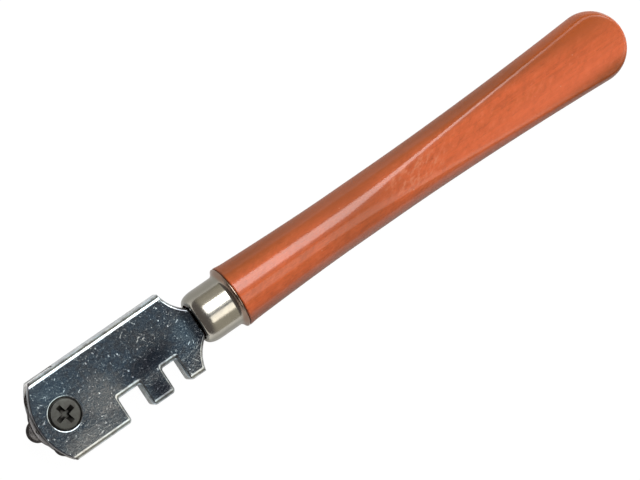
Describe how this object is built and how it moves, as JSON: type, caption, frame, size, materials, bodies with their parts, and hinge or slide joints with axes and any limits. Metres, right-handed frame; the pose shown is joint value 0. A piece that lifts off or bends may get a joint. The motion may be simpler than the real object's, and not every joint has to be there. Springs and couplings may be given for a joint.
{
  "type": "glass cutter",
  "caption": "Hand glass cutter: turned wooden handle with flats, metal ferrule, flat plated head with breaking notches and a turret of small cutting wheels.",
  "frame": {"origin": "bottom centre of the whole tool lying flat: midway along its length and width, at the lowest point of the ferrule's flange", "axes": "+X along the tool towards the end of the handle; +Z square to the flat head, on the side of the screw; the breaking notches open towards -Y"},
  "size_m": [0.13, 0.0158, 0.0117],
  "materials": {
    "handle_wood": "orange-red stain under satin varnish",
    "ferrule_nickel": "satin nickel plating",
    "head_plating": "bright plating, lightly scuffed",
    "turret_steel": "plain stamped steel",
    "wheel_steel": "ground hardened steel",
    "screw_steel": "dull dark steel"
  },
  "bodies": {
    "tool": {"handle": "handle_wood", "ferrule": "ferrule_nickel", "head": "head_plating", "screw_washer": "screw_steel"},
    "turret": {"turret_front_plate": "turret_steel", "turret_rear_plate": "turret_steel", "turret_bush": "turret_steel", "wheel_axle_1": "turret_steel", "wheel_axle_2": "turret_steel", "wheel_axle_3": "turret_steel", "wheel_axle_4": "turret_steel", "wheel_axle_5": "turret_steel", "wheel_axle_6": "turret_steel"},
    "wheel_1": {"cutting_wheel_1": "wheel_steel"},
    "wheel_2": {"cutting_wheel_2": "wheel_steel"},
    "wheel_3": {"cutting_wheel_3": "wheel_steel"},
    "wheel_4": {"cutting_wheel_4": "wheel_steel"},
    "wheel_5": {"cutting_wheel_5": "wheel_steel"},
    "wheel_6": {"cutting_wheel_6": "wheel_steel"},
    "screw": {"clamp_screw": "screw_steel"}
  },
  "joints": [
    {"name": "turret_turn", "type": "hinge", "parent": "tool", "child": "turret", "pos_m": [-0.0577, 0, 0.00585], "axis": [0, 0, 1], "continuous": true},
    {"name": "wheel_1_spin", "type": "hinge", "parent": "turret", "child": "wheel_1", "pos_m": [-0.0629, 0, 0.00585], "axis": [0, 0, 1], "continuous": true},
    {"name": "wheel_2_spin", "type": "hinge", "parent": "turret", "child": "wheel_2", "pos_m": [-0.0603, -0.0045, 0.00585], "axis": [0, 0, 1], "continuous": true},
    {"name": "wheel_3_spin", "type": "hinge", "parent": "turret", "child": "wheel_3", "pos_m": [-0.0551, -0.0045, 0.00585], "axis": [0, 0, 1], "continuous": true},
    {"name": "wheel_4_spin", "type": "hinge", "parent": "turret", "child": "wheel_4", "pos_m": [-0.0525, 0, 0.00585], "axis": [0, 0, 1], "continuous": true},
    {"name": "wheel_5_spin", "type": "hinge", "parent": "turret", "child": "wheel_5", "pos_m": [-0.0551, 0.0045, 0.00585], "axis": [0, 0, 1], "continuous": true},
    {"name": "wheel_6_spin", "type": "hinge", "parent": "turret", "child": "wheel_6", "pos_m": [-0.0603, 0.0045, 0.00585], "axis": [0, 0, 1], "continuous": true},
    {"name": "screw_turn", "type": "hinge", "parent": "tool", "child": "screw", "pos_m": [-0.0577, 0, 0.00585], "axis": [0, 0, 1], "range_deg": [0, 720]}
  ]
}
